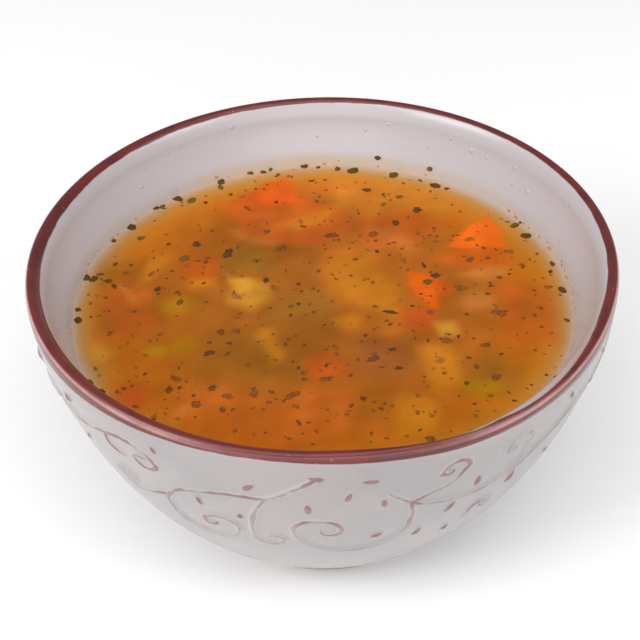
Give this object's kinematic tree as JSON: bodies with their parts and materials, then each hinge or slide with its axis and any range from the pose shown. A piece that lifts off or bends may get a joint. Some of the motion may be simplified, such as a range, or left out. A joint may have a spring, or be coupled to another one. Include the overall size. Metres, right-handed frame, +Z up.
{
  "type": "bowl of minestrone",
  "caption": "Round stoneware bowl with a brown lip and raised vine scroll, filled with vegetable broth and floating herb flakes.",
  "frame": {"origin": "middle of the foot's underside, on the surface the bowl stands on", "axes": "+Z up along the bowl's axis, -Y towards the side that faces the viewer"},
  "size_m": [0.1503, 0.1504, 0.0775],
  "materials": {
    "stoneware": "gloss",
    "broth": "gloss"
  },
  "bodies": {
    "root": {"bowl": "stoneware", "broth": "broth"}
  },
  "joints": []
}
